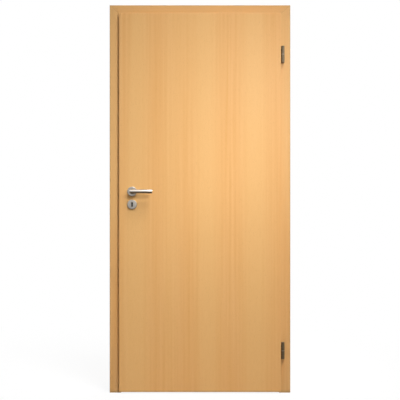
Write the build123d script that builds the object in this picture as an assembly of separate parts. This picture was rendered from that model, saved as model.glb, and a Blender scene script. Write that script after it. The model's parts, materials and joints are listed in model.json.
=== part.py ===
from build123d import *
import os

# A rebated flush door in a wrap-around casing frame, hung on two drill-in barrel hinges.
# Millimetres. +Z up from the floor, -Y towards the side the leaf opens to. The origin lies on the
# wall face of the hinge-side lining, at floor level and at the middle of the wall.

# Leaf
leaf_width = 848.0
leaf_height = 1985.0
leaf_thickness = 40.0
lip_width = 14.0
lip_thickness = 14.5
sheet_thickness = 3.5
lock_stile_width = 110.0
hinge_stile_width = 45.0
rail_height = 60.0
core_tube_radius = 12.5
core_tube_pitch = 36.0
leaf_edge_radius = 1.5

# Running gaps round the leaf
floor_gap = 7.0
rebate_gap = 5.0
lip_gap = 5.0

# Lining boards, casings and their joints
wall_depth = 145.0
lining_thickness = 22.0
lining_arris = 1.0
stop_width = 15.0
casing_thickness = 22.0
back_casing_thickness = 22.0
jamb_casing_width = 60.0
head_casing_width = 54.0
casing_edge_radius = 3.0
tongue_thickness = 8.0
tongue_length = 25.0
tongue_fit = 0.3

# Seal in the stop
seal_space = 6.0
seal_gap = 1.0
seal_width = 10.0
seal_stem_width = 3.6
seal_stem_depth = 6.0
seal_fit = 0.2

# Hinges
hinge_from_leaf_end = 216.0
hinge_axis_out = 10.5
barrel_radius = 8.5
barrel_height = 43.0
barrel_end_chamfer = 1.2
ring_height = 2.0
ring_gap = 0.3
hinge_pin_radius = 3.5
hinge_pin_rise = 30.0
hinge_pin_fit = 0.2
bore_spare = 1.5
spike_radius = 3.0
spike_fit = 0.1
leaf_spike_depth = 42.0
frame_spike_depth = 17.0
spike_collar_radius = 5.0
spike_collar_length = 1.2

# Handle set
handle_height = 1050.0
backset = 55.0
key_drop = 68.0
rosette_radius = 25.0
rosette_thickness = 8.0
rosette_edge_chamfer = 1.0
lever_radius = 10.5
lever_offset = 50.0
lever_reach = 108.0
lever_end_chamfer = 0.6
lever_fit = 0.3
lever_seat = 0.5
spindle_side = 8.0
spindle_socket_depth = 30.0
spindle_fit = 0.1
spindle_hole_radius = 9.0
keyhole_radius = 4.5
keyhole_slot_width = 6.0
keyhole_height = 24.0
keyhole_room = 1.0

# Mortise lock
faceplate_width = 20.0
faceplate_height = 235.0
faceplate_thickness = 3.0
case_depth = 78.0
case_height = 165.0
case_thickness = 15.0
case_wall = 1.5
case_fit = 0.5
bolt_thickness = 9.0
bolt_length = 42.0
bolt_fit = 0.3
latch_height = 26.0
latch_rise = 10.0
dead_bolt_height = 30.0
dead_bolt_rise = 16.0
dead_bolt_chamfer = 1.0

# Strike plate
strike_height = 170.0
strike_thickness = 2.0
strike_rebate_leg = 19.0
strike_front_leg = 8.0
strike_hole_room = 1.5
strike_pocket_depth = 24.0

# Depths, from the room the leaf opens into through to the room behind
wall_front = -wall_depth / 2
wall_back = wall_depth / 2
casing_face = wall_front - casing_thickness
back_casing_face = wall_back + back_casing_thickness
lip_back = casing_face - lip_gap
leaf_front = lip_back - lip_thickness
leaf_back = leaf_front + leaf_thickness
stop_face = leaf_back + seal_space
lock_depth = (lip_back + leaf_back) / 2

# Widths, from the hinge-side wall face at x = 0 across to the lock side
body_width = leaf_width - 2 * lip_width
rebate_width = body_width + 2 * rebate_gap
passage_width = rebate_width - 2 * stop_width
hinge_passage = -lining_thickness
door_centre = hinge_passage - passage_width / 2
lock_passage = hinge_passage - passage_width
leaf_right = door_centre + leaf_width / 2
leaf_left = door_centre - leaf_width / 2
body_right = leaf_right - lip_width
body_left = leaf_left + lip_width
casing_outer = stop_width + jamb_casing_width

# Heights above the floor
leaf_bottom = floor_gap
leaf_top = leaf_bottom + leaf_height
body_top = leaf_top - lip_width
passage_top = body_top + rebate_gap - stop_width
head_outer = stop_width + head_casing_width
frame_top = passage_top + head_outer
handle_z = leaf_bottom + handle_height
key_z = handle_z - key_drop
lock_z = (handle_z + key_z) / 2
handle_x = body_left + backset


def block(x_span, y_span, z_span):
    """A box between two ends on each axis."""
    size = [max(span) - min(span) for span in (x_span, y_span, z_span)]
    middle = [(span[0] + span[1]) / 2 for span in (x_span, y_span, z_span)]
    return Pos(*middle) * Box(*size)


def rod_y(x, z, radius, y_span):
    """A round bar or hole along the depth of the door."""
    start = Plane(origin=(x, min(y_span), z), x_dir=(1, 0, 0), z_dir=(0, 1, 0))
    return extrude(start * Circle(radius), max(y_span) - min(y_span))


# Frame members: a profile drawn as (distance out from the passage, depth), run up one jamb,
# across the head and down the other, and cut on the mitre line between the two corners.
def mitred_members(jamb_profile, head_profile, inner, jamb_outer, head_outer_edge):
    reach = frame_top + casing_outer
    across = jamb_outer - inner
    rise = head_outer_edge - inner
    spare = 0.3
    low_x = hinge_passage + inner - spare * across
    high_x = hinge_passage + jamb_outer + spare * across
    low_z = passage_top + inner - spare * rise
    high_z = passage_top + head_outer_edge + spare * rise

    jamb_run = Plane(origin=(hinge_passage, 0, 0), x_dir=(1, 0, 0), z_dir=(0, 0, 1))
    jamb_bounds = Polygon(
        (low_x, -casing_outer), (high_x, -casing_outer), (high_x, high_z), (low_x, low_z), align=None
    )
    hinge_jamb = extrude(jamb_run * jamb_profile, reach)
    hinge_jamb = hinge_jamb & extrude(Plane.XZ * jamb_bounds, reach, both=True)
    lock_jamb = mirror(hinge_jamb, about=Plane.YZ.offset(door_centre))

    head_run = Plane(origin=(high_x, 0, passage_top), x_dir=(0, 0, 1), z_dir=(-1, 0, 0))
    mirrored_low_x = 2 * door_centre - low_x
    mirrored_high_x = 2 * door_centre - high_x
    head_bounds = Polygon(
        (low_x, low_z), (high_x, high_z), (mirrored_high_x, high_z), (mirrored_low_x, low_z), align=None
    )
    head = extrude(head_run * head_profile, high_x - mirrored_high_x)
    head = head & extrude(Plane.XZ * head_bounds, reach, both=True)
    return hinge_jamb, lock_jamb, head


def rectangle(u_span, y_span):
    """A flat rectangle of a profile, between two ends on each axis."""
    middle = ((u_span[0] + u_span[1]) / 2, (y_span[0] + y_span[1]) / 2)
    return Pos(*middle) * Rectangle(abs(u_span[1] - u_span[0]), abs(y_span[1] - y_span[0]))


def about(middle, width):
    """The two ends of a width laid evenly about its middle."""
    return (middle - width / 2, middle + width / 2)


# Lining: the stop and seal groove in front, the step that carries the casing, and the tongue
# groove for the back casing behind.
def lining_profile():
    board = Polygon(
        (0, stop_face),
        (stop_width, stop_face),
        (stop_width, wall_front),
        (lining_thickness - lining_arris, wall_front),
        (lining_thickness, wall_front + lining_arris),
        (lining_thickness, wall_back - lining_arris),
        (lining_thickness - lining_arris, wall_back),
        (0, wall_back),
        align=None,
    )
    seal_groove = rectangle(
        about(stop_width / 2, seal_stem_width + 2 * seal_fit),
        (stop_face, stop_face + seal_stem_depth + seal_fit),
    )
    tongue_groove = rectangle(
        about(lining_thickness / 2, tongue_thickness + 2 * tongue_fit),
        (wall_back - tongue_length - tongue_fit, wall_back),
    )
    return board - seal_groove - tongue_groove


def front_casing_profile(width):
    board = rectangle((stop_width, stop_width + width), (casing_face, wall_front))
    return fillet(board.vertices().group_by(Axis.Y)[0], casing_edge_radius)


def back_casing_profile(width):
    board = rectangle((0, width), (wall_back, back_casing_face))
    return fillet(board.vertices().group_by(Axis.Y)[-1], casing_edge_radius)


def tongue_profile():
    return rectangle(about(lining_thickness / 2, tongue_thickness), (wall_back - tongue_length, wall_back))


# Seal: a stem pressed into the groove and a round bead that the leaf closes against.
def seal_profile():
    left, right = about(stop_width / 2, seal_width)
    crest = leaf_back + seal_gap
    bead_arc = ThreePointArc((left, stop_face), (stop_width / 2, crest), (right, stop_face))
    bead = make_face(bead_arc + Line((right, stop_face), (left, stop_face)))
    stem = rectangle(about(stop_width / 2, seal_stem_width), (stop_face, stop_face + seal_stem_depth))
    return bead + stem


parts = {}

linings = mitred_members(lining_profile(), lining_profile(), 0, lining_thickness, lining_thickness)
casings = mitred_members(
    front_casing_profile(jamb_casing_width),
    front_casing_profile(head_casing_width),
    stop_width,
    casing_outer,
    head_outer,
)
back_boards = mitred_members(
    back_casing_profile(casing_outer), back_casing_profile(head_outer), 0, casing_outer, head_outer
)
tongues = mitred_members(tongue_profile(), tongue_profile(), 0, lining_thickness, lining_thickness)
back_casings = [board + tongue for board, tongue in zip(back_boards, tongues)]
seals = mitred_members(seal_profile(), seal_profile(), 0, stop_width, stop_width)

places = ("hinge_jamb", "lock_jamb", "head")
for kind, members in (
    ("lining", linings),
    ("front_casing", casings),
    ("back_casing", back_casings),
    ("seal", seals),
):
    for place, member in zip(places, members):
        parts[f"{place}_{kind}"] = member

# Leaf: a rebated blank, sawn into stiles, rails and a tubular core, between two sheets
inside_front = leaf_front + sheet_thickness
inside_back = leaf_back - sheet_thickness
blank = block((leaf_left, leaf_right), (inside_front, lip_back), (leaf_bottom, leaf_top))
blank = blank + block((body_left, body_right), (lip_back, inside_back), (leaf_bottom, body_top))
lock_stile_edge = body_left + lock_stile_width
hinge_stile_edge = body_right - hinge_stile_width
top_rail_edge = body_top - rail_height
bottom_rail_edge = leaf_bottom + rail_height
depth_span = (leaf_front, leaf_back)
height_span = (leaf_bottom, leaf_top)
between_stiles = (lock_stile_edge, hinge_stile_edge)

parts["leaf_lock_stile"] = blank & block((leaf_left, lock_stile_edge), depth_span, height_span)
parts["leaf_hinge_stile"] = blank & block((hinge_stile_edge, leaf_right), depth_span, height_span)
parts["leaf_top_rail"] = blank & block(between_stiles, depth_span, (top_rail_edge, leaf_top))
parts["leaf_bottom_rail"] = blank & block(between_stiles, depth_span, (leaf_bottom, bottom_rail_edge))
core = block(between_stiles, (inside_front, inside_back), (bottom_rail_edge, top_rail_edge))
tube_count = int((hinge_stile_edge - lock_stile_edge - core_tube_pitch) // core_tube_pitch)
tube_centre = Vector(
    (lock_stile_edge + hinge_stile_edge) / 2,
    (inside_front + inside_back) / 2,
    (bottom_rail_edge + top_rail_edge) / 2,
)
tube_places = Pos(*tube_centre) * GridLocations(core_tube_pitch, 1, tube_count, 1)
parts["leaf_core"] = core - tube_places * Cylinder(core_tube_radius, top_rail_edge - bottom_rail_edge)

front_sheet = block((leaf_left, leaf_right), (leaf_front, inside_front), height_span)
front_sheet = fillet(front_sheet.faces().sort_by(Axis.Y)[0].edges(), leaf_edge_radius)
back_sheet = block((body_left, body_right), (inside_back, leaf_back), (leaf_bottom, body_top))
back_sheet = fillet(back_sheet.faces().sort_by(Axis.Y)[-1].edges(), leaf_edge_radius)
parts["leaf_front_sheet"] = front_sheet
parts["leaf_back_sheet"] = back_sheet


# Keyhole: a round top with a narrower slot below, made larger by a margin in the leaf behind.
def keyhole(margin, y_span):
    top = key_z + keyhole_height / 2
    round_z = top - keyhole_radius
    round_hole = rod_y(handle_x, round_z, keyhole_radius + margin, y_span)
    slot = block(
        about(handle_x, keyhole_slot_width + 2 * margin), y_span, (key_z - keyhole_height / 2 - margin, round_z)
    )
    return round_hole + slot


# Lock: faceplate let into the rebated edge, with the case behind it and both bolts drawn back
def bolt_block(z, height, room, x_span):
    return block(x_span, about(lock_depth, bolt_thickness + 2 * room), about(z, height + 2 * room))


latch_z = handle_z + latch_rise
dead_bolt_z = key_z + dead_bolt_rise
case_front = body_left + faceplate_thickness
case_back = case_front + case_depth
case_x = (case_front, case_back)
bolt_x = (body_left, body_left + bolt_length)
plate_x = (body_left, case_front)

rebated_edge = Plane(origin=(body_left, lock_depth, lock_z), x_dir=(0, 0, 1), z_dir=(1, 0, 0))
faceplate_space = extrude(rebated_edge * SlotOverall(faceplate_height, faceplate_width), faceplate_thickness)
faceplate = faceplate_space - bolt_block(latch_z, latch_height, bolt_fit, plate_x)
faceplate = faceplate - bolt_block(dead_bolt_z, dead_bolt_height, bolt_fit, plate_x)
parts["lock_faceplate"] = faceplate

case = block(case_x, about(lock_depth, case_thickness), about(lock_z, case_height))
hollow_thickness = case_thickness - 2 * case_wall
hollow_height = case_height - 2 * case_wall
case = case - block(
    (case_front, case_back - case_wall), about(lock_depth, hollow_thickness), about(lock_z, hollow_height)
)
case = case - rod_y(handle_x, handle_z, spindle_hole_radius, depth_span)
case = case - keyhole(keyhole_room, depth_span)
parts["lock_case"] = case

latch = bolt_block(latch_z, latch_height, 0, bolt_x)
latch_nose = latch.edges().filter_by(Axis.Z).sort_by(Axis.X)[:2].sort_by(Axis.Y)[-1]
latch = chamfer(latch_nose, bolt_thickness * 0.8)
parts["latch_bolt"] = latch
dead_bolt = bolt_block(dead_bolt_z, dead_bolt_height, 0, bolt_x)
parts["dead_bolt"] = chamfer(dead_bolt.faces().sort_by(Axis.X)[0].edges(), dead_bolt_chamfer)

case_pocket = block(
    (body_left, case_back + case_fit),
    about(lock_depth, case_thickness + 2 * case_fit),
    about(lock_z, case_height + 2 * case_fit),
)
spindle_hole = rod_y(handle_x, handle_z, spindle_hole_radius, depth_span)
leaf_keyhole = keyhole(keyhole_room, depth_span)
parts["leaf_lock_stile"] = parts["leaf_lock_stile"] - case_pocket
for name in ("leaf_lock_stile", "leaf_front_sheet", "leaf_back_sheet"):
    parts[name] = parts[name] - faceplate_space - spindle_hole - leaf_keyhole

# Strike: an angle plate let flush into the corner of the lock-side casing, with its bolt pockets
rebate_face = lock_passage - stop_width
strike_z = about(lock_z, strike_height)
strike_space = block(
    (rebate_face - strike_thickness, rebate_face), (casing_face, casing_face + strike_rebate_leg), strike_z
)
strike_space = strike_space + block(
    (rebate_face - strike_front_leg, rebate_face), (casing_face, casing_face + strike_thickness), strike_z
)
pocket_x = (rebate_face - strike_pocket_depth, rebate_face)
pockets = bolt_block(latch_z, latch_height, strike_hole_room, pocket_x)
pockets = pockets + bolt_block(dead_bolt_z, dead_bolt_height, strike_hole_room, pocket_x)
lock_casing = parts["lock_jamb_front_casing"]
parts["strike_plate"] = (lock_casing & strike_space) - pockets
parts["lock_jamb_front_casing"] = lock_casing - strike_space - pockets

# Hinges: a barrel screwed into the leaf turns on a ring and a pin on the barrel below it
hinge_x = leaf_right + hinge_axis_out
hinge_y = leaf_front + lip_thickness / 2
axis_place = Pos(hinge_x, hinge_y, 0)


def upright(radius, bottom, height):
    """A round bar on the hinge axis, standing on a height."""
    return axis_place * Pos(0, 0, bottom + height / 2) * Cylinder(radius, height)


def hinge_leaf_part(joint_z):
    bottom = joint_z + ring_height / 2 + ring_gap
    barrel = upright(barrel_radius, bottom, barrel_height)
    barrel = chamfer(barrel.edges().sort_by(Axis.Z)[-1], barrel_end_chamfer)
    middle = bottom + barrel_height / 2
    into_leaf = Plane(origin=(hinge_x, hinge_y, middle), x_dir=(0, 1, 0), z_dir=(-1, 0, 0))
    spike = extrude(into_leaf * Circle(spike_radius), hinge_axis_out + leaf_spike_depth)
    collar_start = into_leaf.offset(hinge_axis_out - spike_collar_length)
    collar = extrude(collar_start * Circle(spike_collar_radius), spike_collar_length)
    bore_depth = hinge_pin_rise + bore_spare
    bore = upright(hinge_pin_radius + hinge_pin_fit, bottom, bore_depth)
    return barrel + spike + collar - bore


def hinge_frame_part(joint_z):
    top = joint_z - ring_height / 2
    barrel = upright(barrel_radius, top - barrel_height, barrel_height)
    barrel = chamfer(barrel.edges().sort_by(Axis.Z)[0], barrel_end_chamfer)
    middle = top - barrel_height / 2
    spike = rod_y(hinge_x, middle, spike_radius, (hinge_y, casing_face + frame_spike_depth))
    pin = upright(hinge_pin_radius, top, ring_height + ring_gap + hinge_pin_rise)
    return barrel + spike + pin


def hinge_ring(joint_z):
    bottom = joint_z - ring_height / 2
    ring = upright(barrel_radius, bottom, ring_height)
    return ring - upright(hinge_pin_radius, bottom, ring_height)


hinge_stile = parts["leaf_hinge_stile"]
hinge_casing = parts["hinge_jamb_front_casing"]
hinge_heights = {
    "lower_hinge": leaf_bottom + hinge_from_leaf_end,
    "upper_hinge": leaf_top - hinge_from_leaf_end,
}
for name, joint_z in hinge_heights.items():
    parts[f"{name}_leaf_barrel"] = hinge_leaf_part(joint_z)
    parts[f"{name}_frame_barrel"] = hinge_frame_part(joint_z)
    parts[f"{name}_ring"] = hinge_ring(joint_z)
    leaf_middle = joint_z + ring_height / 2 + ring_gap + barrel_height / 2
    leaf_hole_start = Plane(origin=(leaf_right, hinge_y, leaf_middle), x_dir=(0, 1, 0), z_dir=(-1, 0, 0))
    leaf_hole = extrude(leaf_hole_start * Circle(spike_radius + spike_fit), leaf_spike_depth + spike_fit)
    hinge_stile = hinge_stile - leaf_hole
    frame_middle = joint_z - ring_height / 2 - barrel_height / 2
    hole_span = (casing_face, casing_face + frame_spike_depth + spike_fit)
    hinge_casing = hinge_casing - rod_y(hinge_x, frame_middle, spike_radius + spike_fit, hole_span)
parts["leaf_hinge_stile"] = hinge_stile
parts["hinge_jamb_front_casing"] = hinge_casing


# Handle set: a mitred round lever, its rosette and the key rosette, alike on both sides of the leaf
def lever(face, outward):
    seat = face + outward * lever_seat
    corner = face + outward * lever_offset
    route = Polyline(
        (handle_x, seat, handle_z), (handle_x, corner, handle_z), (handle_x + lever_reach, corner, handle_z)
    )
    start = Plane(origin=(handle_x, seat, handle_z), x_dir=(1, 0, 0), z_dir=(0, outward, 0))
    bar = sweep(start * Circle(lever_radius), path=route, transition=Transition.RIGHT)
    bar = chamfer(bar.faces().sort_by(Axis.X)[-1].edges(), lever_end_chamfer)
    socket = block(
        about(handle_x, spindle_side + 2 * spindle_fit),
        (seat, seat + outward * spindle_socket_depth),
        about(handle_z, spindle_side + 2 * spindle_fit),
    )
    return bar - socket


def rosette(face, outward, z):
    disc = rod_y(handle_x, z, rosette_radius, (face, face + outward * rosette_thickness))
    front_edge = disc.edges().sort_by(Axis.Y)[-1 if outward > 0 else 0]
    return chamfer(front_edge, rosette_edge_chamfer)


for side, face, outward in (("front", leaf_front, -1), ("back", leaf_back, 1)):
    plate_span = (face, face + outward * rosette_thickness)
    lever_hole = rod_y(handle_x, handle_z, lever_radius + lever_fit, plate_span)
    parts[f"{side}_handle_rosette"] = rosette(face, outward, handle_z) - lever_hole
    parts[f"{side}_key_rosette"] = rosette(face, outward, key_z) - keyhole(0, plate_span)
    parts[f"{side}_lever"] = lever(face, outward)

spindle_reach = lever_seat + spindle_socket_depth - spindle_fit
parts["spindle"] = block(
    about(handle_x, spindle_side),
    (leaf_front - spindle_reach, leaf_back + spindle_reach),
    about(handle_z, spindle_side),
)

os.makedirs("parts", exist_ok=True)
for name, solid in parts.items():
    export_step(solid, f"parts/{name}.step")
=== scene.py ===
import json
import math

import bmesh
import bpy
from mathutils import Matrix, Vector


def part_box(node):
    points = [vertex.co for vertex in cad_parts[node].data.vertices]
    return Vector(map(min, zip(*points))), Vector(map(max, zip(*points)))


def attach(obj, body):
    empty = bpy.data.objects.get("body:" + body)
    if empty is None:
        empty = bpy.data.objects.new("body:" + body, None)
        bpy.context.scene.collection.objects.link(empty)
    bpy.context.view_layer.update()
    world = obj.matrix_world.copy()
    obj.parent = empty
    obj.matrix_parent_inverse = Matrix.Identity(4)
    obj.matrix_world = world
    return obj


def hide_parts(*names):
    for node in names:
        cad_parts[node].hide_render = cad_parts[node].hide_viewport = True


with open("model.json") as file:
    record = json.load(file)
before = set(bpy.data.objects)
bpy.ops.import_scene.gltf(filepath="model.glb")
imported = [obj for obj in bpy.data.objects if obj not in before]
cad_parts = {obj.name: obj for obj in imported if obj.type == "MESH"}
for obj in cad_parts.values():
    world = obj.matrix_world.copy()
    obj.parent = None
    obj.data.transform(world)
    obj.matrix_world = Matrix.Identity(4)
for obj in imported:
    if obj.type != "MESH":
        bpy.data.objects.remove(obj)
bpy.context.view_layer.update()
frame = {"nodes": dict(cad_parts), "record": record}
nodes = frame["nodes"]

# Camera, set square on to the door as the photograph is; metres, and millimetres for the sensor
CAMERA_DISTANCE = 4.4
CAMERA_HEIGHT = 1.0125
VIEW_WIDTH = 2.103
SENSOR_WIDTH = 36.0

# Light from all round: its strength and lean on the door, and what the metal mirrors
WORLD_LIGHT = 0.252
WORLD_LEAN = (0.92, -0.05, 0.38)
CEILING = 1.7
RIGHT_SIDE = 0.5

# Lamps: name, place, aim, size, spread in degrees and power
# Places and aims are given from the middle of the door's foot, on the casing's face
SIDE_POWER = 3.78
TOP_POWER = 16.8
HIGH_POWER = 10.0
REAR_POWER = 60.0
LAMPS = (
    ("side_softbox", (0.75, -1.90, 2.02), (0.08, 0.0, 1.09), (0.35, 0.35), 68, SIDE_POWER),
    ("top_softbox", (1.45, -3.50, 6.10), (-0.24, 0.0, 0.24), (2.3, 1.8), 50, TOP_POWER),
    ("high_softbox", (0.80, -2.40, 7.30), (0.0, 0.0, 0.24), (1.7, 1.3), 50, HIGH_POWER),
    ("rear_softbox", (0.30, 3.00, 2.60), (0.0, 0.0, 1.00), (2.4, 2.0), 180, REAR_POWER),
)

# Floor: half its width, its colours, how white it is to the eye at the door, and where it fades to white
FLOOR_REACH = 9.0
FLOOR_COLOUR = (0.50, 0.48, 0.45, 1)
# Painted reflection: near the door metal sees the floor in this dark colour, so its undersides look darker
FLOOR_PAINTED_IN_METAL = (0.10, 0.077, 0.054, 1)
FLOOR_TO_EYE = (0.97, 0.97, 0.97, 1)
FLOOR_WHITE = 0.90
FLOOR_FADE = (0.7, 2.6)
FLOOR_MIRROR_FADE = (2.0, 5.0)

# Meshes: how near doubles are, how sharp a crease is, and how many steps a round has
MERGE = 1e-6
CREASE = math.radians(32)
CORNER_STEPS = 4
SCREW_STEPS = 32
BUTTON_STEPS = 40
KEYHOLE_STEPS = 40
LEVER_STEPS = 64
BEARING_STEPS = 72
COVER_STEPS = 96

# Lever and its grub screw, in metres
LEVER_END_ROUND = 0.0008
LEVER_MITRE_ROUND = 0.0005
GRUB_SCREW_OUT = 0.016
GRUB_SCREW_RADIUS = 0.0025
GRUB_SCREW_PLAY = 0.0001
GRUB_SCREW_DEPTH = 0.006
GRUB_SCREW_SUNK = 0.0004
GRUB_SCREW_ROUND = 0.0003
GRUB_HOLE_DEPTH = 0.002
GRUB_SOCKET = 0.0014
GRUB_SOCKET_CUT = 0.004

# Covers, with the bearing and the keyhole, in metres
BEARING_GAP = 0.0003
BEARING_WALL = 0.0014
BEARING_FOOT = 0.001
BEARING_PROUD = 0.0006
BEARING_ROUND = 0.0003
COVER_ROUND = 0.0020
COVER_BORE_ROUND = 0.0004
KEYHOLE_RADIUS = 0.005
KEYHOLE_SLOT = 0.008
KEYHOLE_HEIGHT = 0.024

# Lock: the tumbler plate, and cross-head screws with their shares of the head's radius, in metres
TUMBLER_SIZE = (0.030, 0.002, 0.038)
TUMBLER_ASIDE = 0.004
TUMBLER_CORNER = 0.003
SCREW_HEAD = 0.0038
SCREW_DEPTH = 0.002
SCREW_FOOT_SHARE = 0.4
SCREW_RIM_SHARE = 0.9
SCREW_RIM = 0.0002
SCREW_CROWN = 0.0003
SCREW_SLOT = 0.0009
SCREW_SLOT_CUT = 0.0024
SCREW_SLOT_SHARE = 1.2
STRIKE_SCREW_IN = 0.013

# Buttons on the ends of the hinges, in metres
PIN_END = 0.0034
PIN_END_FOOT = 0.001
PIN_END_SHOULDER = 0.0005
PIN_END_DOME = 0.0011
PIN_END_DOME_SHARE = 0.6
PIN_END_TOP = 0.0013
SHOULDER_ROUND = 0.0003
DOME_ROUND = 0.0006

# Directions, seen from the front of the door
LEFT = (-1, 0, 0)
RIGHT = (1, 0, 0)
FRONT = (0, -1, 0)
REAR = (0, 1, 0)
UP = (0, 0, 1)
DOWN = (0, 0, -1)

# Places taken from the frame; a spot is across and up
HEAD_LOW, HEAD_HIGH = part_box("head_front_casing")
DOOR_CENTRE = (HEAD_LOW.x + HEAD_HIGH.x) / 2
CASING_FACE = HEAD_LOW.y
DOOR_FOOT = Vector((DOOR_CENTRE, CASING_FACE, 0))
HANDLE_LOW, HANDLE_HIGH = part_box("front_handle_rosette")
HANDLE_SPOT = ((HANDLE_LOW.x + HANDLE_HIGH.x) / 2, (HANDLE_LOW.z + HANDLE_HIGH.z) / 2)
KEY_LOW, KEY_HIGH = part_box("front_key_rosette")
KEY_SPOT = ((KEY_LOW.x + KEY_HIGH.x) / 2, (KEY_LOW.z + KEY_HIGH.z) / 2)


class Shade:
    """A socket in a node tree, so that masks and tones are written as sums."""

    def __init__(self, tree, socket):
        self.tree = tree
        self.socket = socket

    def math(self, operation, *values):
        return self.tree.node("ShaderNodeMath", {"operation": operation}, dict(enumerate(values)))

    def __add__(self, other):
        return self.math("ADD", self, other)

    def __radd__(self, other):
        return self.math("ADD", other, self)

    def __sub__(self, other):
        return self.math("SUBTRACT", self, other)

    def __rsub__(self, other):
        return self.math("SUBTRACT", other, self)

    def __mul__(self, other):
        return self.math("MULTIPLY", self, other)

    def __rmul__(self, other):
        return self.math("MULTIPLY", other, self)

    def __abs__(self):
        return self.math("ABSOLUTE", self)

    def either(self, other):
        return self.math("MAXIMUM", self, other)

    def step(self, low, high):
        """0 below low, 1 above high, with a soft step between."""
        settings = {"interpolation_type": "SMOOTHSTEP"}
        inputs = {"Value": self, "From Min": low, "From Max": high}
        return self.tree.node("ShaderNodeMapRange", settings, inputs)


class Tree:
    """A node tree of a material or of the world."""

    def __init__(self, owner):
        owner.use_nodes = True
        self.nodes = owner.node_tree.nodes
        self.links = owner.node_tree.links

    def node(self, kind, settings=None, inputs=None, output=0):
        made = self.nodes.new(kind)
        for name, value in (settings or {}).items():
            setattr(made, name, value)
        for name, value in (inputs or {}).items():
            self.feed(made.inputs[name], value)
        return Shade(self, made.outputs[output])

    def feed(self, socket, value):
        if isinstance(value, Shade):
            self.links.new(value.socket, socket)
        else:
            socket.default_value = value

    def ray(self, kind):
        return self.node("ShaderNodeLightPath", output=kind)

    def mirrored(self):
        """1 on rays that leave a shiny or a clear surface."""
        return self.ray("Is Glossy Ray").either(self.ray("Is Transmission Ray"))

    def dot(self, first, second):
        return self.node("ShaderNodeVectorMath", {"operation": "DOT_PRODUCT"}, {0: first, 1: second}, "Value")

    def distance(self, first, second):
        return self.node("ShaderNodeVectorMath", {"operation": "DISTANCE"}, {0: first, 1: second}, "Value")


class Finish(Tree):
    """A material built round one Principled shader."""

    def __init__(self, name, values):
        self.material = bpy.data.materials.new(name)
        super().__init__(self.material)
        self.shader = self.nodes["Principled BSDF"]
        for socket, value in values.items():
            self.shader.inputs[socket].default_value = value

    def mix(self, factor, first, second):
        """A colour between two colours."""
        return self.node("ShaderNodeMix", {"data_type": "RGBA"}, {"Factor": factor, 6: first, 7: second}, 2)

    def place(self, output="Object"):
        return self.node("ShaderNodeTexCoord", output=output)

    def noise(self, place, stretch, detail, move=(0, 0, 0)):
        """Noise with so many cells a metre along each axis of the piece."""
        vector = self.node("ShaderNodeMapping", inputs={"Vector": place, "Location": move, "Scale": stretch})
        return self.node("ShaderNodeTexNoise", inputs={"Vector": vector, "Scale": 1.0, "Detail": detail})

    def use(self, **sockets):
        for name, value in sockets.items():
            self.feed(self.shader.inputs[name.replace("_", " ")], value)
        return self

    def bump(self, height, distance):
        return self.use(Normal=self.node("ShaderNodeBump", inputs={"Height": height, "Distance": distance}))


def shade_of(colour, tone):
    return tuple(value * tone for value in colour) + (1,)


# Middle value of a noise
MEAN = 0.5

# Bare particle board: cells a metre, colours, and the core's roughness and relief
CHIP_CELLS = (420.0, 420.0, 180.0)
SPECK_CELLS = (900.0, 900.0, 700.0)
SPECK_EDGE = (0.62, 0.70)
SPECK_SHARE = 0.6
SPECK_COLOUR = (0.20, 0.12, 0.06, 1)
RAW_BOARD = ((0.36, 0.24, 0.13, 1), (0.62, 0.47, 0.29, 1))
CORE_ROUGH = 0.75
CORE_ROUGH_SPREAD = 0.15
CORE_RELIEF = 0.0002

# Beech decor: colours
PINK_BAND = (0.779, 0.437, 0.169)
YELLOW_BAND = (0.807, 0.483, 0.195)
DARK_LINE = (0.655, 0.294, 0.055)
RAY_FLECK = (0.42, 0.19, 0.06)
# Painted shade: the colour laid at the foot of each board, and on casings at the outer edge and low down
PAINTED_SHADE_COLOUR = (0.38, 0.26, 0.12)
MITRE_SHADOW = (0.22, 0.10, 0.035, 1)
LEAF_TONE = 1.0
# The frame is the leaf's own laminate, painted a little darker as shade
SHADED_FRAME_TONE = 0.95

# Beech decor: cells a metre across and along the grain, and the noise's detail
BAND_CELLS = 8.0
STREAK_GRAIN = (72.0, 1.1, 3.0)
FIBRE_GRAIN = (1300.0, 16.0, 2.0)
FLECK_GRAIN = (620.0, 95.0, 1.0)

# Beech decor: where each board's noise starts, and the bands' cells a metre along the grain
LEAF_DECOR = ((2482.608, 63.1, 0.0), 0.20)
HINGE_JAMB_DECOR = ((68.55, 791.28, 295.24), 0.50)
LOCK_JAMB_DECOR = ((513.76, 272.35, 6.22), 0.50)
HEAD_DECOR = ((30.88, 3.81, 456.41), 0.20)

# Beech decor: how strongly each mark shows, and the painted shade
BAND_MIDDLE = 0.6
BAND_CONTRAST = 4.2
LINE_SHARE = 0.2
STREAK_SHARE = 0.85
STREAK_LOSS_IN_PALE = 0.6
FIBRE_SHARE = 0.45
FLECK_EDGE = (0.63, 0.72)
FLECK_SHARE = 0.18
MITRE_SHARE = 0.4
LOW_SHADE_SHARE = 0.18
PAINTED_SHADE_SHARE = 0.65

# Beech decor: widths of the marks and of the painted shade in metres, and how square a face is to the bare
# side
MITRE_HAIRLINE = (0.0002, 0.0006)
EDGE_SHADE_WIDTH = 0.005
FOOT_SHADE_HEIGHT = 0.022
LOW_SHADE_HEIGHT = 0.40
BARE_EDGE = (0.85, 0.95)

# Beech decor: roughness and relief
FOIL_ROUGH = 0.50
FOIL_ROUGH_SPREAD = 0.12
EDGE_ROUGH = 0.85
FLECK_RELIEF = 0.5
CHIP_RELIEF = 2.0
GRAIN_RELIEF = 0.00006


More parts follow.
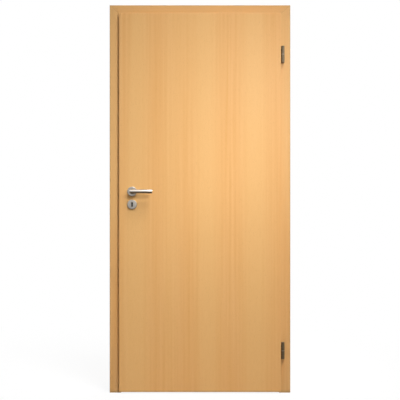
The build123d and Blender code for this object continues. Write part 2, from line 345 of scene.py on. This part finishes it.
def chipped_board(finish, place):
    """The chips and the colour of bare particle board: pale chips with dark specks between them."""
    chips = finish.noise(place, CHIP_CELLS, detail=3.0)
    specks = finish.noise(place, SPECK_CELLS, detail=1.0).step(*SPECK_EDGE)
    return chips, finish.mix(specks * SPECK_SHARE, finish.mix(chips, *RAW_BOARD), SPECK_COLOUR)


def from_centre(finish, place):
    """How far a spot is to the side of the door's middle, and how high it is."""
    split = finish.node("ShaderNodeSeparateXYZ", inputs={"Vector": place})
    return abs(split - DOOR_CENTRE), Shade(finish, split.socket.node.outputs["Z"])


def mitre_line(aside, up):
    """A hairline where the casings meet, on the line from the inner to the outer corner of the frame."""
    outer = Vector((HEAD_HIGH.x - DOOR_CENTRE, HEAD_HIGH.z))
    inner = Vector((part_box("hinge_jamb_front_casing")[0].x - DOOR_CENTRE, HEAD_LOW.z))
    along = (outer - inner).normalized()
    across = (aside - inner.x) * along.y - (up - inner.y) * along.x
    return 1 - abs(across).step(*MITRE_HAIRLINE)


def painted_edge_shade(aside, up):
    """The outer edge of the frame, darker as painted shade on its rounded arris."""
    half = HEAD_HIGH.x - DOOR_CENTRE
    return (aside - (half - EDGE_SHADE_WIDTH)).either(up - (HEAD_HIGH.z - EDGE_SHADE_WIDTH)).step(0.0, EDGE_SHADE_WIDTH)


def beech(name, level, raw, tone, decor, casing=False):
    """Beech decor on board, bare on one side: bands, streaks and fibres along the grain, ray flecks and
    painted shade.
    """
    finish = Finish(name, {"Specular IOR Level": 0.28})
    place = finish.place()
    start, drift = decor

    def grain(across, along, detail):
        stretch = (along, across, across) if level else (across, across, along)
        return finish.noise(place, stretch, detail, start)

    bands = grain(BAND_CELLS, drift, detail=0.0)
    streaks = grain(*STREAK_GRAIN)
    fibres = grain(*FIBRE_GRAIN)
    flecks = grain(*FLECK_GRAIN).step(*FLECK_EDGE)
    pale = MEAN + (bands - BAND_MIDDLE) * BAND_CONTRAST
    wood = finish.mix(pale, shade_of(PINK_BAND, tone), shade_of(YELLOW_BAND, tone))
    streak_share = STREAK_SHARE - pale * STREAK_LOSS_IN_PALE
    lines = LINE_SHARE + (streaks - MEAN) * streak_share + (fibres - MEAN) * FIBRE_SHARE
    wood = finish.mix(lines, wood, shade_of(DARK_LINE, tone))
    wood = finish.mix(flecks * FLECK_SHARE, wood, shade_of(RAY_FLECK, tone))
    aside, up = from_centre(finish, place)
    # Painted shade at the foot of each board
    painted_shade = 1 - up.step(0.0, FOOT_SHADE_HEIGHT)
    if casing:
        wood = finish.mix(mitre_line(aside, up) * MITRE_SHARE, wood, MITRE_SHADOW)
        # Painted shade on casings, darker towards the floor and at the outer edge
        low_shade = (1 - up.step(0.0, LOW_SHADE_HEIGHT)) * LOW_SHADE_SHARE
        painted_shade = painted_shade.either(painted_edge_shade(aside, up)).either(low_shade)
    wood = finish.mix(painted_shade * PAINTED_SHADE_SHARE, wood, shade_of(PAINTED_SHADE_COLOUR, tone))
    chips, board = chipped_board(finish, place)
    bare = finish.dot(finish.place("Normal"), raw).step(*BARE_EDGE)
    finish.use(Base_Color=finish.mix(bare, wood, board))
    satin = FOIL_ROUGH + (fibres - MEAN) * FOIL_ROUGH_SPREAD + flecks * FOIL_ROUGH_SPREAD
    finish.use(Roughness=satin + bare * (EDGE_ROUGH - satin))
    foil = (fibres - flecks * FLECK_RELIEF) * (1 - bare)
    return finish.bump(foil + chips * bare * CHIP_RELIEF, GRAIN_RELIEF).material


def particle_board():
    finish = Finish("particle_board", {"Specular IOR Level": 0.2})
    chips, board = chipped_board(finish, finish.place())
    finish.use(Base_Color=board)
    finish.use(Roughness=CORE_ROUGH + chips * CORE_ROUGH_SPREAD)
    return finish.bump(chips, CORE_RELIEF).material


# Metal and plastic: colours
SATIN = (0.44, 0.405, 0.365)
# The covers are the lever's steel, painted darker so that their flat faces show a dimmer reflection
SHADED_COVER_SATIN = (0.36, 0.335, 0.30)
BRONZE = (0.130, 0.090, 0.044)
BRIGHT_RING = (0.40, 0.33, 0.24)
ZINC = (0.50, 0.50, 0.50)
# Blackened steel of the grub screws and the tumbler, so near black that it paints the shade inside the
# keyhole
BLACK_STEEL_AND_KEYHOLE_SHADE = (0.035, 0.035, 0.035)
BROWN_RUBBER = ((0.13, 0.075, 0.035, 1), (0.20, 0.12, 0.06, 1))
BLACK_NYLON = ((0.09, 0.09, 0.09, 1), (0.14, 0.14, 0.14, 1))

# Metal and plastic: cells a metre, how tone and roughness spread, and relief in metres
CLOUD_CELLS = (60.0, 60.0, 60.0)
RING_CELLS = 2400.0
DUST_CELLS = (900.0, 900.0, 300.0)
POLISH_DARK = 0.88
POLISH_LIGHT = 1.10
LINES_IN_TONE = 0.7
CLOUD_IN_TONE = 0.3
LINES_IN_ROUGH = 0.10
CLOUD_IN_ROUGH = 0.08
POLISH_RELIEF = 0.00002
PLASTIC_ROUGH = 0.60
PLASTIC_ROUGH_SPREAD = 0.2
PLASTIC_RELIEF = 0.00005


def polished(finish, place, lines, colour, rough):
    """The lines that polishing leaves, and a faint cloudiness."""
    cloud = finish.noise(place, CLOUD_CELLS, detail=2.0)
    tone = lines * LINES_IN_TONE + cloud * CLOUD_IN_TONE
    finish.use(Base_Color=finish.mix(tone, shade_of(colour, POLISH_DARK), shade_of(colour, POLISH_LIGHT)))
    finish.use(Roughness=rough + (lines - MEAN) * LINES_IN_ROUGH + (cloud - MEAN) * CLOUD_IN_ROUGH)
    return finish.bump(lines, POLISH_RELIEF).material


def steel(name, colour, stretch, rough, bare=1.0):
    """Brushed steel, bare or lacquered: fine lines along the way it was polished."""
    finish = Finish(name, {"Metallic": bare})
    place = finish.place()
    return polished(finish, place, finish.noise(place, stretch, detail=3.0), colour, rough)


def turned_steel(name, colour, spot, rough):
    """Steel polished on the lathe: fine rings round the middle of a rosette."""
    finish = Finish(name, {"Metallic": 1.0})
    place = finish.place()
    flat = finish.node("ShaderNodeMapping", inputs={"Vector": place, "Scale": (1, 0, 1)})
    from_middle = finish.distance(flat, (spot[0], 0, spot[1]))
    inputs = {"W": from_middle, "Scale": RING_CELLS}
    rings = finish.node("ShaderNodeTexNoise", {"noise_dimensions": "1D"}, inputs)
    return polished(finish, place, rings, colour, rough)


def soft_plastic(name, dark, light):
    """Rubber or nylon: a matt even surface with a trace of dust."""
    finish = Finish(name, {"Specular IOR Level": 0.3})
    dust = finish.noise(finish.place(), DUST_CELLS, detail=2.0)
    finish.use(Base_Color=finish.mix(dust, dark, light))
    finish.use(Roughness=PLASTIC_ROUGH + dust * PLASTIC_ROUGH_SPREAD)
    return finish.bump(dust, PLASTIC_RELIEF).material


METALS = {
    "satin_steel": steel("satin_steel", SATIN, (40.0, 1500.0, 1500.0), rough=0.30),
    "handle_cover": turned_steel("handle_cover_steel", SHADED_COVER_SATIN, HANDLE_SPOT, rough=0.33),
    "key_cover": turned_steel("key_cover_steel", SHADED_COVER_SATIN, KEY_SPOT, rough=0.36),
    "hinge_steel": steel("hinge_bronze", BRONZE, (1200.0, 1200.0, 60.0), rough=0.42, bare=0.35),
    "hinge_ring": steel("hinge_ring_bright", BRIGHT_RING, (900.0, 900.0, 900.0), rough=0.36),
    "lock_steel": steel("lock_zinc", ZINC, (700.0, 700.0, 200.0), rough=0.32),
    "dark_steel": steel("tumbler_steel", BLACK_STEEL_AND_KEYHOLE_SHADE, (300.0, 300.0, 300.0), rough=0.45),
}
PLASTICS = {
    "seal_rubber": soft_plastic("seal_rubber", *BROWN_RUBBER),
    "bearing_nylon": soft_plastic("bearing_nylon", *BLACK_NYLON),
}

# Woods: the way the grain runs, the side that is bare board, and the decor
UPRIGHT = False
LEVEL = True
HINGE_JAMB = (SHADED_FRAME_TONE, HINGE_JAMB_DECOR)
LOCK_JAMB = (SHADED_FRAME_TONE, LOCK_JAMB_DECOR)
HEAD = (SHADED_FRAME_TONE, HEAD_DECOR)
WOODS = {
    "hinge_jamb_lining": beech("beech_hinge_lining", UPRIGHT, RIGHT, *HINGE_JAMB),
    "lock_jamb_lining": beech("beech_lock_lining", UPRIGHT, LEFT, *LOCK_JAMB),
    "head_lining": beech("beech_head_lining", LEVEL, UP, *HEAD),
    "hinge_jamb_front_casing": beech("beech_hinge_casing", UPRIGHT, REAR, *HINGE_JAMB, casing=True),
    "lock_jamb_front_casing": beech("beech_lock_casing", UPRIGHT, REAR, *LOCK_JAMB, casing=True),
    "head_front_casing": beech("beech_head_casing", LEVEL, REAR, *HEAD, casing=True),
    "hinge_jamb_back_casing": beech("beech_hinge_back_casing", UPRIGHT, FRONT, *HINGE_JAMB, casing=True),
    "lock_jamb_back_casing": beech("beech_lock_back_casing", UPRIGHT, FRONT, *LOCK_JAMB, casing=True),
    "head_back_casing": beech("beech_head_back_casing", LEVEL, FRONT, *HEAD, casing=True),
    "leaf": beech("beech_leaf", UPRIGHT, DOWN, LEAF_TONE, LEAF_DECOR),
    "leaf_rail": beech("beech_leaf_rail", LEVEL, DOWN, LEAF_TONE, HEAD_DECOR),
}


def wood_of(node):
    """Jambs and the leaf have upright grain, the head and the rails have level grain."""
    if node.startswith("leaf"):
        return WOODS["leaf_rail" if node.endswith("rail") else "leaf"]
    return WOODS[node]


def dress_nodes():
    """Every CAD node that stays in view gets its finish."""
    board = particle_board()
    for row in frame["record"]["subparts"]:
        node, slot = row["node"], row["material_slot"]
        if slot == "core_board":
            finish = board
        elif slot.endswith("beech"):
            finish = wood_of(node)
        else:
            finish = METALS.get(slot) or PLASTICS[slot]
        nodes[node].data.materials.clear()
        nodes[node].data.materials.append(finish)


def link(name, mesh):
    made = bpy.data.objects.new(name, mesh)
    bpy.context.scene.collection.objects.link(made)
    return made


def set_in_place(name, shape, body, material, stands_for=()):
    """A finished shape becomes a piece that rides on its body."""
    bmesh.ops.remove_doubles(shape, verts=shape.verts, dist=MERGE)
    bmesh.ops.recalc_face_normals(shape, faces=shape.faces)
    for edge in shape.edges:
        edge.smooth = edge.calc_face_angle(0.0) < CREASE
    for face in shape.faces:
        face.smooth = True
    mesh = bpy.data.meshes.new(name)
    shape.to_mesh(mesh)
    shape.free()
    mesh.materials.append(material)
    piece = link(name, mesh)
    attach(piece, body)
    if stands_for:
        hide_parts(*stands_for)


def turned(profile, rounds, steps):
    """A closed profile of (radius, along) points, with some corners rounded, spun about the Y axis."""
    shape = bmesh.new()
    corners = [shape.verts.new((radius, along, 0)) for radius, along in profile]
    for start, end in zip(corners, corners[1:] + corners[:1]):
        shape.edges.new((start, end))
    for corner, offset in rounds.items():
        bmesh.ops.bevel(
            shape,
            geom=[corners[corner]],
            offset=offset,
            offset_type="OFFSET",
            segments=CORNER_STEPS,
            profile=0.5,
            affect="VERTICES",
            material=-1,
        )
    bmesh.ops.spin(
        shape,
        geom=shape.verts[:] + shape.edges[:],
        axis=(0, 1, 0),
        angle=2 * math.pi,
        steps=steps,
        use_merge=True,
    )
    bmesh.ops.remove_doubles(shape, verts=shape.verts, dist=MERGE)
    bmesh.ops.recalc_face_normals(shape, faces=shape.faces)
    return shape


def collar(inner, outer, foot, top, steps, outer_round=0.0, inner_round=0.0):
    """A straight turned ring, or a disc where its inner radius is 0, with the corners at its top rounded."""
    profile = [(inner, foot), (outer, foot), (outer, top), (inner, top)]
    rounds = {corner: offset for corner, offset in ((2, outer_round), (3, inner_round)) if offset}
    return turned(profile, rounds, steps)


def point(shape, place, direction):
    """Turn a shape that was made along Y to a direction, and take it to its place."""
    turn = Vector((0, 1, 0)).rotation_difference(Vector(direction)).to_matrix()
    bmesh.ops.rotate(shape, verts=shape.verts, cent=(0, 0, 0), matrix=turn)
    bmesh.ops.translate(shape, verts=shape.verts, vec=place)
    return shape


def lay_along_y(shape, verts):
    """Turn a shape that was made along Z to lie along Y."""
    bmesh.ops.rotate(shape, verts=verts, cent=(0, 0, 0), matrix=Matrix.Rotation(math.pi / 2, 3, "X"))


def slab(size, place):
    """A block, used as a plate or as a tool that cuts a slot."""
    shape = bmesh.new()
    bmesh.ops.create_cube(shape, size=1.0)
    bmesh.ops.scale(shape, verts=shape.verts, vec=size)
    bmesh.ops.translate(shape, verts=shape.verts, vec=place)
    return shape


def cut_away(shape, tool):
    """What is left of a shape after a tool has cut it."""
    made = []
    for part in (shape, tool):
        mesh = bpy.data.meshes.new("cut")
        part.to_mesh(mesh)
        part.free()
        made.append(link("cut", mesh))
    body, cutter = made
    cut = body.modifiers.new("cut", "BOOLEAN")
    cut.operation = "DIFFERENCE"
    cut.solver = "EXACT"
    cut.object = cutter
    left = bmesh.new()
    left.from_object(body, bpy.context.evaluated_depsgraph_get())
    for each in made:
        bpy.data.objects.remove(each)
    return left


def pulled(shape, edges):
    """Draw a loop of edges out into a tube, and give the new loop."""
    drawn = bmesh.ops.extrude_edge_only(shape, edges=edges)["geom"]
    return (
        [part for part in drawn if isinstance(part, bmesh.types.BMVert)],
        [part for part in drawn if isinstance(part, bmesh.types.BMEdge) and part.is_boundary],
    )


def rounded(shape, edges, offset, segments):
    bmesh.ops.bevel(
        shape,
        geom=edges,
        offset=offset,
        offset_type="OFFSET",
        segments=segments,
        profile=0.5,
        affect="EDGES",
        material=-1,
    )


def build_lever(side, outward):
    """A round bar, mitred at the elbow, with a softened end and a hole for the grub screw under the neck."""
    low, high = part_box(f"{side}_lever")
    radius = (high.z - low.z) / 2
    axis_x, axis_z = low.x + radius, (low.z + high.z) / 2
    seat, reach = (high.y, low.y) if outward < 0 else (low.y, high.y)
    axis_y = reach - outward * radius
    shape = bmesh.new()
    ring = bmesh.ops.create_circle(shape, radius=radius, segments=LEVER_STEPS)["verts"]
    lay_along_y(shape, ring)
    bmesh.ops.translate(shape, verts=ring, vec=(axis_x, seat, axis_z))
    foot = shape.edges[:]
    elbow, elbow_edges = pulled(shape, foot)
    for vert in elbow:
        vert.co.y = axis_y - outward * (vert.co.x - axis_x)
    tip, tip_edges = pulled(shape, elbow_edges)
    for vert in tip:
        vert.co.x = high.x
    bmesh.ops.edgeloop_fill(shape, edges=foot)
    bmesh.ops.edgeloop_fill(shape, edges=tip_edges)
    rounded(shape, tip_edges, LEVER_END_ROUND, segments=3)
    rounded(shape, elbow_edges, LEVER_MITRE_ROUND, segments=2)
    bmesh.ops.recalc_face_normals(shape, faces=shape.faces)
    screw_spot = Vector((axis_x, seat + outward * GRUB_SCREW_OUT, axis_z - radius))
    hole = collar(0, GRUB_SCREW_RADIUS, -GRUB_HOLE_DEPTH, GRUB_HOLE_DEPTH, SCREW_STEPS)
    shape = cut_away(shape, point(hole, screw_spot, DOWN))
    set_in_place(f"{side}_lever_bar", shape, "lever", METALS["satin_steel"], [f"{side}_lever"])
    build_grub_screw(side, screw_spot)


def build_grub_screw(side, spot):
    """A headless screw with a six-sided socket, sunk a little into the lever's neck."""
    radius = GRUB_SCREW_RADIUS - GRUB_SCREW_PLAY
    screw = collar(0, radius, -GRUB_SCREW_DEPTH, -GRUB_SCREW_SUNK, SCREW_STEPS, GRUB_SCREW_ROUND)
    socket = bmesh.new()
    bmesh.ops.create_cone(
        socket,
        cap_ends=True,
        segments=6,
        radius1=GRUB_SOCKET,
        radius2=GRUB_SOCKET,
        depth=GRUB_SOCKET_CUT,
    )
    lay_along_y(socket, socket.verts)
    screw = point(cut_away(screw, socket), spot, DOWN)
    set_in_place(f"{side}_lever_grub_screw", screw, "lever", METALS["dark_steel"])


def build_covers(side, outward):
    """The two round covers of one side: one with a bearing for the lever, one with the keyhole."""
    low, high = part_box(f"{side}_handle_rosette")
    radius = (high.x - low.x) / 2
    thick = high.y - low.y
    face = high.y if outward < 0 else low.y
    bar_low, bar_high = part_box(f"{side}_lever")
    bore = (bar_high.z - bar_low.z) / 2 + BEARING_GAP
    sleeve = bore + BEARING_WALL
    direction = (0, outward, 0)
    handle = (HANDLE_SPOT[0], face, HANDLE_SPOT[1])

    proud = thick + BEARING_PROUD
    ring = collar(bore, sleeve, BEARING_FOOT, proud, BEARING_STEPS, BEARING_ROUND, BEARING_ROUND)
    ring = point(ring, handle, direction)
    set_in_place(f"{side}_lever_bearing", ring, "leaf", PLASTICS["bearing_nylon"])

    cover = collar(sleeve, radius, 0, thick, COVER_STEPS, COVER_ROUND, COVER_BORE_ROUND)
    cover = point(cover, handle, direction)
    rosette = [f"{side}_handle_rosette"]
    set_in_place(f"{side}_handle_cover", cover, "leaf", METALS["handle_cover"], rosette)

    disc = collar(0, radius, 0, thick, COVER_STEPS, COVER_ROUND)
    disc = point(disc, (KEY_SPOT[0], face, KEY_SPOT[1]), direction)
    middle = face + outward * thick / 2
    round_z = KEY_SPOT[1] + KEYHOLE_HEIGHT / 2 - KEYHOLE_RADIUS
    drill = collar(0, KEYHOLE_RADIUS, -thick, thick, KEYHOLE_STEPS)
    disc = cut_away(disc, point(drill, (KEY_SPOT[0], middle, round_z), direction))
    slot_foot = KEY_SPOT[1] - KEYHOLE_HEIGHT / 2
    slot_size = (KEYHOLE_SLOT, 2 * thick, round_z - slot_foot)
    disc = cut_away(disc, slab(slot_size, (KEY_SPOT[0], middle, (slot_foot + round_z) / 2)))
    rosette = [f"{side}_key_rosette"]
    set_in_place(f"{side}_key_cover", disc, "leaf", METALS["key_cover"], rosette)


def build_tumbler():
    """The tumbler plate in the lock, which closes the view through the keyhole; its near-black steel is
    painted shade there.
    """
    low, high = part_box("lock_case")
    plate = slab(TUMBLER_SIZE, (KEY_SPOT[0] + TUMBLER_ASIDE, (low.y + high.y) / 2, KEY_SPOT[1]))
    through = TUMBLER_SIZE[1] / 2
    corners = [edge for edge in plate.edges if abs(edge.verts[0].co.y - edge.verts[1].co.y) > through]
    rounded(plate, corners, TUMBLER_CORNER, segments=3)
    set_in_place("lock_tumbler", plate, "leaf", METALS["dark_steel"])


def build_screw(name, body, place, direction):
    """A countersunk cross-head screw, its head level with the plate."""
    profile = [
        (0, -SCREW_DEPTH),
        (SCREW_HEAD * SCREW_FOOT_SHARE, -SCREW_DEPTH),
        (SCREW_HEAD, 0),
        (SCREW_HEAD * SCREW_RIM_SHARE, SCREW_RIM),
        (0, SCREW_CROWN),
    ]
    shape = turned(profile, {}, SCREW_STEPS)
    length = SCREW_HEAD * SCREW_SLOT_SHARE
    for size in ((SCREW_SLOT, SCREW_SLOT_CUT, length), (length, SCREW_SLOT_CUT, SCREW_SLOT)):
        shape = cut_away(shape, slab(size, (0, SCREW_CROWN, 0)))
    set_in_place(name, point(shape, place, direction), body, METALS["lock_steel"])


def build_lock_screws():
    """Two screws in the lock's faceplate and two in the strike plate."""
    low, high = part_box("lock_faceplate")
    middle = (low.y + high.y) / 2
    end = (high.y - low.y) / 2
    build_screw("faceplate_screw_upper", "leaf", (low.x, middle, high.z - end), LEFT)
    build_screw("faceplate_screw_lower", "leaf", (low.x, middle, low.z + end), LEFT)
    low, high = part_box("strike_plate")
    middle = (low.y + high.y) / 2
    build_screw("strike_screw_upper", "frame", (high.x, middle, high.z - STRIKE_SCREW_IN), RIGHT)
    build_screw("strike_screw_lower", "frame", (high.x, middle, low.z + STRIKE_SCREW_IN), RIGHT)


def build_pin_ends(hinge):
    """The turned button that closes each end of a hinge."""
    profile = [
        (0, -PIN_END_FOOT),
        (PIN_END, -PIN_END_FOOT),
        (PIN_END, PIN_END_SHOULDER),
        (PIN_END * PIN_END_DOME_SHARE, PIN_END_DOME),
        (0, PIN_END_TOP),
    ]
    ring_low, ring_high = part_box(f"{hinge}_ring")
    x, y = (ring_low.x + ring_high.x) / 2, (ring_low.y + ring_high.y) / 2
    for part, body, up in (("leaf_barrel", "leaf", 1), ("frame_barrel", "frame", -1)):
        low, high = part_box(f"{hinge}_{part}")
        z = high.z if up > 0 else low.z
        button = turned(profile, {2: SHOULDER_ROUND, 3: DOME_ROUND}, BUTTON_STEPS)
        button = point(button, (x, y, z), (0, 0, up))
        set_in_place(f"{hinge}_{part}_button", button, body, METALS["hinge_steel"])


def build_floor():
    """A floor that is white to the eye, keeps the door's shadow, and near the door shows in metal as a
    painted dark reflection.
    """
    shape = bmesh.new()
    bmesh.ops.create_grid(shape, x_segments=1, y_segments=1, size=FLOOR_REACH)
    bmesh.ops.translate(shape, verts=shape.verts, vec=DOOR_FOOT)
    mesh = bpy.data.meshes.new("studio_floor")
    shape.to_mesh(mesh)
    shape.free()
    finish = Finish("studio_floor", {"Roughness": 0.9, "Specular IOR Level": 0.1})
    eye = finish.ray("Is Camera Ray")
    unseen = finish.mix(finish.mirrored(), FLOOR_COLOUR, FLOOR_PAINTED_IN_METAL)
    finish.use(Base_Color=finish.mix(eye, unseen, FLOOR_TO_EYE))
    from_door = finish.distance(finish.place(), (DOOR_CENTRE, 0, 0))
    seen = eye * (FLOOR_WHITE + (1 - FLOOR_WHITE) * from_door.step(*FLOOR_FADE))
    white = seen.either(finish.mirrored() * from_door.step(*FLOOR_MIRROR_FADE))
    glow = finish.node("ShaderNodeEmission", inputs={"Strength": 1.0})
    plain = Shade(finish, finish.shader.outputs[0])
    surface = finish.node("ShaderNodeMixShader", inputs={0: white, 1: plain, 2: glow})
    finish.feed(finish.nodes["Material Output"].inputs["Surface"], surface)
    mesh.materials.append(finish.material)
    link("studio_floor", mesh)


def build_world():
    """White to the eye, brighter above and at the right in metal, and a soft light from the upper right."""
    world = bpy.data.worlds.new("studio")
    bpy.context.scene.world = world
    tree = Tree(world)
    towards = tree.node("ShaderNodeTexCoord", output="Generated")
    dome = WORLD_LIGHT * (1 + tree.dot(towards, WORLD_LEAN))
    above = tree.dot(towards, UP).either(0)
    studio = 1 + CEILING * above + RIGHT_SIDE * tree.dot(towards, RIGHT)
    eye = tree.ray("Is Camera Ray")
    mirrored = tree.mirrored()
    spread = 1 - eye.either(mirrored)
    back = tree.nodes["Background"]
    back.inputs["Color"].default_value = (1, 1, 1, 1)
    tree.feed(back.inputs["Strength"], eye + mirrored * studio + spread * dome)


def build_lamps():
    for name, place, aim, (width, height), spread, power in LAMPS:
        lamp = bpy.data.lights.new(name, "AREA")
        lamp.shape = "ELLIPSE"
        lamp.size = width
        lamp.size_y = height
        lamp.spread = math.radians(spread)
        lamp.energy = power
        made = link(name, lamp)
        made.location = Vector(place) + DOOR_FOOT
        made.rotation_mode = "QUATERNION"
        made.rotation_quaternion = (Vector(aim) - Vector(place)).to_track_quat("-Z", "Y")


def build_camera():
    camera = bpy.data.cameras.new("camera")
    camera.sensor_width = SENSOR_WIDTH
    camera.lens = SENSOR_WIDTH * CAMERA_DISTANCE / VIEW_WIDTH
    made = link("camera", camera)
    made.location = (DOOR_CENTRE, CASING_FACE - CAMERA_DISTANCE, CAMERA_HEIGHT)
    made.rotation_euler = (math.pi / 2, 0, 0)
    bpy.context.scene.camera = made


dress_nodes()
for side, outward in (("front", -1), ("back", 1)):
    build_lever(side, outward)
    build_covers(side, outward)
build_tumbler()
build_lock_screws()
for hinge in ("upper_hinge", "lower_hinge"):
    build_pin_ends(hinge)
build_floor()
build_world()
build_lamps()
build_camera()
bpy.context.scene.view_settings.view_transform = "Standard"
